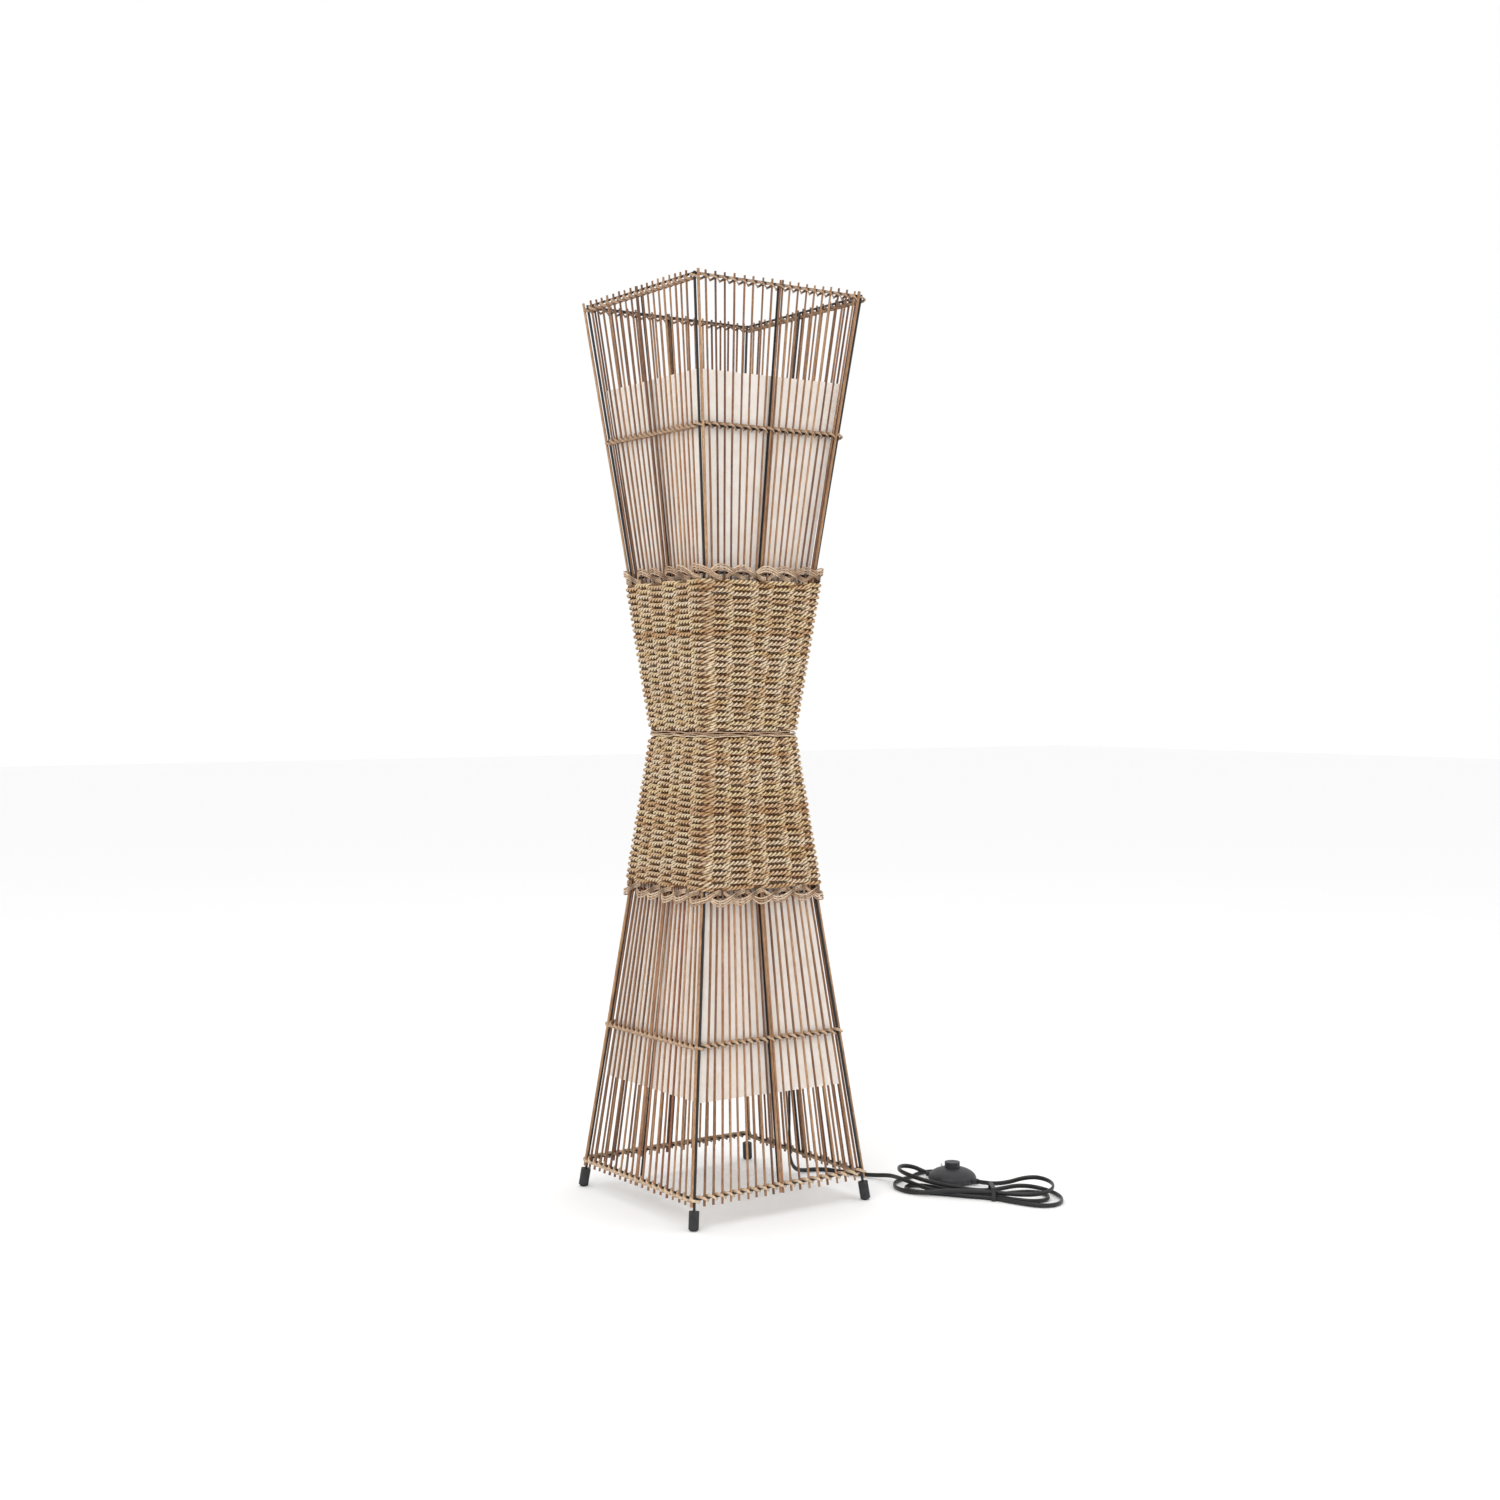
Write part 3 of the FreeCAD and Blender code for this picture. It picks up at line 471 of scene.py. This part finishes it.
# to the right of the tie twice and to its left once, then the raised loop to the switch
FIRST_LOOPS = [
    (-0.106, 0.068, 0.0086), (-0.097, 0.052, 0.0086), (-0.084, 0.036, 0.0068),
    (-0.066, 0.023, 0.0034), (-0.046, 0.0125, 0.0028), (-0.026, 0.004, 0.0028),
    (-0.0085, -0.0015, 0.0028), (0.010, -0.007, 0.0028), (0.030, -0.019, 0.0028),
    (0.050, -0.027, 0.0028), (0.067, -0.019, 0.0028), (0.072, 0, 0.0028),
    (0.063, 0.017, 0.0028), (0.045, 0.020, 0.0028), (0.026, 0.013, 0.0028),
    (0.008, 0.006, 0.0028), (-0.0085, 0.0035, 0.0028), (-0.028, 0.012, 0.0028),
    (-0.050, 0.030, 0.0028), (-0.068, 0.046, 0.0028), (-0.084, 0.053, 0.0028),
    (-0.098, 0.046, 0.0028), (-0.099, 0.029, 0.0028), (-0.086, 0.019, 0.0028),
    (-0.066, 0.0135, 0.0028), (-0.046, 0.0065, 0.0028), (-0.026, -0.0015, 0.0028),
    (-0.0085, -0.0065, 0.0028), (0.008, -0.014, 0.0028), (0.032, -0.034, 0.0028),
    (0.056, -0.048, 0.0028), (0.076, -0.041, 0.0028), (0.086, -0.018, 0.0028),
    (0.084, 0.006, 0.0028), (0.074, 0.026, 0.0034), (0.056, 0.034, 0.006),
    (0.037, 0.027, 0.0086), (0.020, 0.015, 0.0088), (0.006, 0.0055, 0.0088),
    (-0.0085, 0.0015, 0.0088), (-0.028, 0.009, 0.0088), (-0.053, 0.025, 0.0094),
    (-0.076, 0.039, 0.012), (-0.094, 0.053, 0.0155), (-0.104, 0.070, 0.017),
    (-0.103, 0.088, 0.0165), (-0.094, 0.102, 0.015), (-0.082, 0.108, 0.012),
    (-0.072, 0.106, 0.008), (-0.0655, 0.1015, 0.006),
]
# a raised loop to the right, through the tie and round on the left to the plug behind the switch
SECOND_LOOPS = [
    (-0.0065, 0.0604, 0.005), (0.004, 0.053, 0.005), (0.016, 0.045, 0.0064),
    (0.030, 0.0405, 0.0096), (0.046, 0.042, 0.014), (0.062, 0.038, 0.0165),
    (0.075, 0.024, 0.016), (0.079, 0.004, 0.0145), (0.071, -0.015, 0.0125),
    (0.054, -0.024, 0.0105), (0.034, -0.020, 0.0092), (0.012, -0.010, 0.0088),
    (-0.0085, -0.0045, 0.0088), (-0.030, 0.0, 0.0088), (-0.052, 0.0035, 0.0084),
    (-0.070, 0.007, 0.0056), (-0.088, 0.0135, 0.003), (-0.104, 0.0265, 0.0028),
    (-0.112, 0.045, 0.0028), (-0.110, 0.064, 0.0028), (-0.101, 0.079, 0.0028),
    (-0.089, 0.090, 0.0028), (-0.081, 0.102, 0.0028), (-0.074, 0.114, 0.0029),
    (-0.062, 0.1185, 0.0033), (-0.053, 0.118, 0.0037), (-0.044, 0.118, 0.00375),
]


def flex(name, route, replaced):
    """A length of the flat flex, standing on its edge along a smooth route."""
    data = bpy.data.curves.new(name, "CURVE")
    data.dimensions = "3D"
    data.twist_mode = "Z_UP"
    data.resolution_u = 8
    data.bevel_mode = "OBJECT"
    data.bevel_object = oval("flex_section", *FLEX_SECTION, 14)
    data.use_fill_caps = True
    spline = data.splines.new("NURBS")
    spline.points.add(len(route) - 1)
    for point, spot in zip(spline.points, route):
        point.co = (*spot, 1)
    spline.order_u = 3
    spline.use_endpoint_u = True
    cord = bpy.data.objects.new(name, data)
    bpy.context.scene.collection.objects.link(cord)
    place(cord, "cord_pvc", *replaced)


def cords():
    """The flex from the lamp to the foot switch, and from there to the plug."""
    first = LEAD_ROUTE + [in_hank(*point) for point in FIRST_LOOPS]
    flex("flex_to_switch", first, ["cord_lead", "cord_hank"])
    second = [in_hank(*point) for point in SECOND_LOOPS]
    flex("flex_to_plug", second,
         ["cord_switch_tail", "cord_plug_tail"])


cords()


# ---------------------------------------------------------------- carried-over nodes
SLOT_OF = {
    "black_wire": ["mid_rods"] + [
        name for name in nodes if name.startswith(("corner_rod", "ring_"))
    ],
    "foot_rubber": [name for name in nodes if name.startswith("foot_cap")],
    "liner_film": ["liner_upper", "liner_lower"],
    "holder_plastic": ["lampholder_upper", "lampholder_lower", "junction_box"],
    "bulb_cap_metal": ["bulb_cap_upper", "bulb_cap_lower"],
    "bulb_glass": ["bulb_glass_upper", "bulb_glass_lower"],
    "plated_steel": ["holder_bracket_upper", "holder_bracket_lower", "switch_spring",
                     "switch_screws", "plug_blades"],
    "brass_strip": ["switch_contacts"],
    "switch_plastic": ["switch_base", "switch_cover", "switch_button", "plug_body"],
    "tie_plastic": ["cable_tie", "twist_tie"],
    "cord_pvc": ["inner_cables"],
}
for slot, names in SLOT_OF.items():
    for name in names:
        for material_slot in nodes[name].material_slots:
            material_slot.material = FINISHES[slot]


# ---------------------------------------------------------------- cane sticks
# direction from the waist, radius and reach past the rim in mm, and how many gaps each side
# of a face's middle is divided into
STICK_HALVES = {
    "upper": (1, 1.25, 5.5, 9, 10),
    "lower": (-1, 1.4, 9.0, 10, 9),
}
STICK_STEPS = 10
PAIR_HALF = 1.5 * MM


def stick_line(low, high, tip, chance):
    """The points of one stick, a little wavy, with the radius it has at each."""
    along = (high - low).normalized()
    start, end = low + along * MM, high + along * (tip + chance.uniform(-1.2, 0)) * MM
    side = along.cross(Vector((0, 0, 1))).normalized()
    sway, phase = chance.uniform(0.1, 0.55) * MM, chance.uniform(0, 2 * math.pi)
    line, radii = [], []
    thick = chance.uniform(0.95, 1.1)
    for step in range(STICK_STEPS + 1):
        share = step / STICK_STEPS
        bow = sway * math.sin(math.pi * share) * math.sin(2.2 * math.pi * share + phase)
        line.append(start.lerp(end, share) + side * bow)
        radii.append(thick * (1 - 0.05 * math.sin(3 * math.pi * share + phase)))
    return line, radii


def stick_places(first, second):
    """Where the sticks stand across a face, from -1 to 1, a close pair at its middle left out."""
    return [-1 + step / first for step in range(1, first)] + [
        step / second for step in range(1, second)
    ]


def cane_sticks():
    """The sticks of each face and half, each with its own small bends and tone."""
    chance = random.Random(7)
    for half_name, (sign, radius, tip, first, second) in STICK_HALVES.items():
        rim = sign * HALF_HEIGHT
        profile = oval("stick_section", 2 * radius, 2 * radius, 8)
        for index, face in enumerate(("front", "right", "back", "left")):
            spots = [(u * half_at(0), u * half_at(rim)) for u in stick_places(first, second)]
            spots += [(side * PAIR_HALF,) * 2 for side in (-1, 1)]
            lines, radii = [], []
            for low, high in spots:
                drift = chance.uniform(-0.6, 0.6) * MM
                line, thickness = stick_line(
                    on_face(index, low, half_at(0) + CANE_OFFSET, 0),
                    on_face(index, high + drift, half_at(rim) + CANE_OFFSET, rim), tip, chance,
                )
                lines.append(line)
                radii.append(thickness)
            name = f"sticks_{face}_{half_name}"
            piece = strands(name, lines, profile, radii=radii)
            shade_strands(piece, [1] * len(lines), name)
            place(piece, "cane", f"cane_sticks_{face}_{half_name}")


# half, face, end of the face, and how far in from the corner rod at the rim
CORNER_PLACES = (
    ("upper", 0, -1, 3.0 * MM), ("upper", 0, 1, 6.0 * MM), ("upper", 2, -1, 3.0 * MM),
    ("upper", 2, 1, -3.5 * MM), ("lower", 1, -1, 1.0 * MM), ("lower", 1, 1, 1.0 * MM),
    ("lower", 3, -1, 1.0 * MM), ("lower", 3, 1, 1.0 * MM),
)


def corner_canes():
    """The thicker cane beside each corner rod."""
    chance = random.Random(11)
    lines, radii = [], []
    for half_name, index, side, shift in CORNER_PLACES:
        sign, _, tip, _, _ = STICK_HALVES[half_name]
        rim = sign * HALF_HEIGHT
        low = on_face(index, side * (half_at(0) - shift / 2), half_at(0) + CANE_OFFSET, 0)
        high = on_face(index, side * (half_at(rim) - shift), half_at(rim) + CANE_OFFSET, rim)
        line, thickness = stick_line(low, high, tip, chance)
        lines.append(line)
        radii.append(thickness)
    piece = strands("corner_sticks", lines, oval("corner_section", 3.4, 3.4, 10), radii=radii)
    shade_strands(piece, [1] * len(lines), "corner_sticks", 0.9)
    place(piece, "cane", "corner_canes")


cane_sticks()
corner_canes()


# ---------------------------------------------------------------- paths round the lamp
class Loop:
    """A square path with rounded corners round the lamp at one rise.

    Distances run from the start of the front face's straight part, through the four faces.
    """

    def __init__(self, rise, offset, corner):
        self.rise, self.corner = rise, corner
        self.half = half_at(rise) + offset
        self.straight = 2 * (self.half - corner)
        self.quarter = self.straight + math.pi / 2 * corner
        self.length = 4 * self.quarter

    def point(self, distance, out=0.0, up=0.0):
        """A point of the path, moved out from it and up."""
        index, along = divmod(distance, self.quarter)
        inner = self.half - self.corner
        turn = max(0.0, along - self.straight) / self.corner
        if along <= self.straight:
            across, outward = along - inner, self.half + out
        else:
            across = inner + (self.corner + out) * math.sin(turn)
            outward = inner + (self.corner + out) * math.cos(turn)
        widen = half_at(self.rise + up) - half_at(self.rise)
        return on_face(int(index), across, outward + widen, self.rise + up)

    def at(self, face, share):
        """The distance to a place across a face, from -1 at its left corner to 1."""
        flat = max(-1.0, min(1.0, share * half_at(self.rise) / (self.half - self.corner)))
        start = face * self.quarter + (flat + 1) / 2 * self.straight
        if abs(share) > 0.999:
            start += math.copysign(math.pi / 4 * self.corner, share)
        return start

    def corner_nearness(self, distance, reach):
        """1 at the middle of a corner, falling to 0 at reach from it."""
        along = distance % self.quarter
        middle = self.straight + math.pi / 4 * self.corner
        gap = min(abs(along - middle), abs(along - middle + self.quarter))
        return max(0.0, 1 - gap / reach)


def upright_places(loop, first, second):
    """Distances at which the loop meets each corner and stick, in order round the lamp."""
    found = []
    for face in range(4):
        found += [loop.at(face, share) for share in stick_places(first, second) + [0.0]]
        found.append(loop.at(face, 1.0))
    return sorted(found)


def phase_at(distance, marks, length):
    """How many marks lie behind a distance, with the share of the gap to the next."""
    count = len(marks)
    for number in range(count):
        low = marks[number]
        high = marks[(number + 1) % count] + (length if number == count - 1 else 0)
        for spot in (distance, distance + length):
            if low <= spot < high:
                return number + (spot - low) / (high - low)
    return 0.0


# ---------------------------------------------------------------- lashings
PEEL_SIDES, LASHING_STEPS = 8, 6
LASHING_OUT, LASHING_UP = 4.2 * MM, -2.7 * MM
RIM_DROP = 3.5 * MM


def lashing(level, rise, first, second):
    """Two strands of peel, twined so that each stick and the wire behind are held between them."""
    loop = Loop(rise, 1.4 * MM, 1.2 * MM)
    marks = upright_places(loop, first, second)
    lines, tilts, behind = [], [], []
    for strand in (0, 1):
        line, lean = [], []
        for number, mark in enumerate(marks):
            following = marks[(number + 1) % len(marks)]
            gap = (following - mark) % loop.length
            for step in range(LASHING_STEPS):
                angle = math.pi * (number + step / LASHING_STEPS + strand)
                distance = (mark + gap * step / LASHING_STEPS) % loop.length
                line.append(loop.point(
                    distance, LASHING_OUT * math.cos(angle), LASHING_UP * math.sin(angle)
                ))
                lean.append(-0.6 * math.cos(angle))
                # painted shade where each strand passes in behind the stick, in the gap between
                # the two strands
                behind += [max(0.0, 0.2 - math.cos(angle)) * 0.55] * PEEL_SIDES
        lines.append(line)
        tilts.append(lean)
    profile = oval("peel_section", 3.6, 1.5, PEEL_SIDES)
    piece = strands(f"twined_peel_{level}", lines, profile, closed=True, tilts=tilts)
    shade_strands(piece, [1, 1], level)
    give(piece, "painted_shade", behind)
    place(piece, "cane_peel", f"lashing_{level}")


for level, rise in (("top_rim", HALF_HEIGHT - RIM_DROP), ("upper_band", BAND_RISE),
                    ("lower_band", -BAND_RISE), ("bottom_rim", -HALF_HEIGHT)):
    lashing(level, rise, *STICK_HALVES["upper" if rise > 0 else "lower"][3:])


# ---------------------------------------------------------------- the seagrass weave
ROW_PITCH = 3.65 * MM
ROPE_STEP = 1.1 * MM
TWIST_PITCH = 12.6 * MM
COLUMNS = 22
WEAVE_OFFSET, WEAVE_CORNER, WEAVE_DEPTH = 6.5 * MM, 9 * MM, 2.4 * MM
# how much longer a rope lies over than under, and the length in which it passes through
OVER_MORE, PASS_LENGTH = 3.2 * MM, 3.6 * MM
LOWEST_ROW, HIGHEST_ROW = 6.4 * MM, 180.2 * MM
BAND_ROWS = 10


def column_edges(loop, first, second):
    """Distances of the gaps between sticks where the ropes pass from front to back."""
    uprights = upright_places(loop, first, second)
    edges = []
    for column in range(COLUMNS):
        number = round(column * len(uprights) / COLUMNS)
        before = uprights[number - 1] - (loop.length if number == 0 else 0)
        edges.append(((before + uprights[number]) / 2) % loop.length)
    return sorted(edges)


def weave_row(rise, parity, first, second, chance):
    """One rope round the lamp, over and under groups of sticks."""
    loop = Loop(rise, WEAVE_OFFSET, WEAVE_CORNER)
    edges = [edge + chance.uniform(-2.2, 2.2) * MM
             for edge in column_edges(loop, first, second)]
    waves = [(chance.uniform(0.15, 0.4) * MM, chance.randint(2, 9), chance.uniform(0, 6.3))
             for _ in range(3)]
    steps = round(loop.length / ROPE_STEP)
    turns = round(loop.length / TWIST_PITCH)
    start = chance.uniform(0, math.pi)
    line, twist, corner, sunk = [], [], [], []
    for step in range(steps):
        distance = loop.length * step / steps
        phase = phase_at(distance, edges, loop.length)
        number, share = divmod(phase, 1)
        gap = (edges[(int(number) + 1) % COLUMNS] - edges[int(number)]) % loop.length
        near = min(share, 1 - share) * gap
        ahead = near + OVER_MORE if (int(number) + parity) % 2 == 0 else OVER_MORE - near
        swing = math.sin(math.pi / 2 * max(-1.0, min(1.0, ahead / PASS_LENGTH)))
        out = WEAVE_DEPTH * swing
        close = loop.corner_nearness(distance, 12 * MM)
        if swing < 0:
            out *= 1 - 0.8 * close
        wave = sum(size * math.sin(2 * math.pi * count * step / steps + offset)
                   for size, count, offset in waves)
        line.append(loop.point(distance, out, wave))
        twist.append(start - 2 * math.pi * turns * step / steps)
        corner.append(loop.corner_nearness(distance, 16 * MM))
        # painted shade where the rope passes under, behind the sticks
        sunk.append(0.85 * max(0.0, -swing))
    return line, twist, corner, sunk


def weave_bands():
    """The sleeve: rows of two-ply rope from the waist to each border, in bands of ten."""
    chance = random.Random(23)
    profile = oval("rope_section", 5.3, 4.2, 8, waist=0.45)
    rows = round((HIGHEST_ROW - LOWEST_ROW) / ROW_PITCH)
    for half_name, (sign, _, _, first, second) in STICK_HALVES.items():
        made = []
        for row in range(rows + 1):
            rise = sign * (LOWEST_ROW + (HIGHEST_ROW - LOWEST_ROW) * row / rows)
            made.append(weave_row(rise, row, first, second, chance))
        for band, start in enumerate(range(0, len(made), BAND_ROWS), start=1):
            some = made[start:start + BAND_ROWS]
            name = f"seagrass_{half_name}_{band}"
            piece = strands(name, [row[0] for row in some], profile, closed=True,
                            tilts=[row[1] for row in some])
            counts = [len(row[0]) for row in some]
            shade_strands(piece, counts, name)
            ring = len(piece.data.vertices) // sum(counts)
            give(piece, "corner", [near for row in some for near in row[2] for _ in range(ring)])
            # painted shade in the groove between the two plies of each rope
            groove = [math.cos(2 * math.pi * side / ring) ** 4 for side in range(ring)]
            give(piece, "painted_shade", [max(depth, sink) for row in some for sink in row[3]
                                   for depth in groove])
            place(piece, "seagrass", f"seagrass_sleeve_{half_name}")


weave_bands()


# ---------------------------------------------------------------- rolled borders and waist
BORDER_CANES, BORDER_STEPS, BORDER_SIDES = 3, 24, 7
# in mm: where a cane starts below the edge, how far apart the canes lie, and how far they swing
# out from the tuck
TUCK_DEPTH, CANE_SPREAD, TUCK_OUT, SWING_OUT = 6, 3.0, 4, 6.4
CROWN_SHARE = 0.3


def rolled_border(level, sign, first, second):
    """A rolled border: from each column three fine canes arch over the edge and slope away."""
    rise = sign * WEAVE_RISE
    chance = random.Random(level)
    loop = Loop(rise, 7.6 * MM, 8 * MM)
    edges = column_edges(loop, first, second)
    pitch = loop.length / COLUMNS
    lines, tucked = [], []
    for edge in edges:
        crown = chance.uniform(5.6, 6.8)
        for cane in range(BORDER_CANES):
            line = []
            for step in range(BORDER_STEPS + 1):
                share = step / BORDER_STEPS
                distance = (edge + (share * 1.8 - 0.1) * pitch) % loop.length
                rising = math.sin(math.pi / 2 * min(1.0, share / CROWN_SHARE))
                falling = max(0.0, (share - CROWN_SHARE) / (1 - CROWN_SHARE))
                fall = falling * falling * (3 - 2 * falling)
                height = -TUCK_DEPTH + (crown + TUCK_DEPTH) * rising - (crown + 6.5) * fall
                height += (cane - 1) * CANE_SPREAD * (0.35 + 0.65 * rising - 0.35 * fall)
                out = -TUCK_OUT + SWING_OUT * rising - 4.4 * fall ** 2
                line.append(loop.point(distance, out * MM, sign * height * MM))
                # painted shade at both ends of each cane, where it tucks under its neighbours
                dark = 0.7 * max(0.0, 1 - share / 0.16, (share - 0.86) / 0.14)
                tucked += [dark] * BORDER_SIDES
            lines.append(line)
    profile = oval("border_section", 2.0, 1.8, BORDER_SIDES)
    piece = strands(f"rolled_{level}", lines, profile)
    shade_strands(piece, [1] * len(lines), level)
    give(piece, "painted_shade", tucked)
    place(piece, "cane_peel", level)


rolled_border("sleeve_border_top", 1, 9, 10)
rolled_border("sleeve_border_bottom", -1, 10, 9)


BINDING_STEPS = 240
BINDING_LEVELS = (-2.4, -0.4, 2.1)


def waist_binding():
    """Three thin strands laid round the narrowest place."""
    chance = random.Random(5)
    lines = []
    for level in BINDING_LEVELS:
        loop = Loop(level * MM, 8.0 * MM, 9 * MM)
        waves = [(chance.randint(3, 19), chance.uniform(0, 6.3)) for _ in range(4)]
        line = []
        for step in range(BINDING_STEPS):
            share = step / BINDING_STEPS
            wave = [math.sin(2 * math.pi * count * share + offset) for count, offset in waves]
            line.append(loop.point(loop.length * share, 0.7 * MM * (wave[0] + wave[1]),
                                   0.45 * MM * (wave[2] + wave[3])))
        lines.append(line)
    piece = strands("waist_binding", lines, oval("binding_section", 1.8, 1.5, 8), closed=True)
    shade_strands(piece, [1] * len(lines), "waist")
    place(piece, "cane_peel", "waist_strands")


waist_binding()
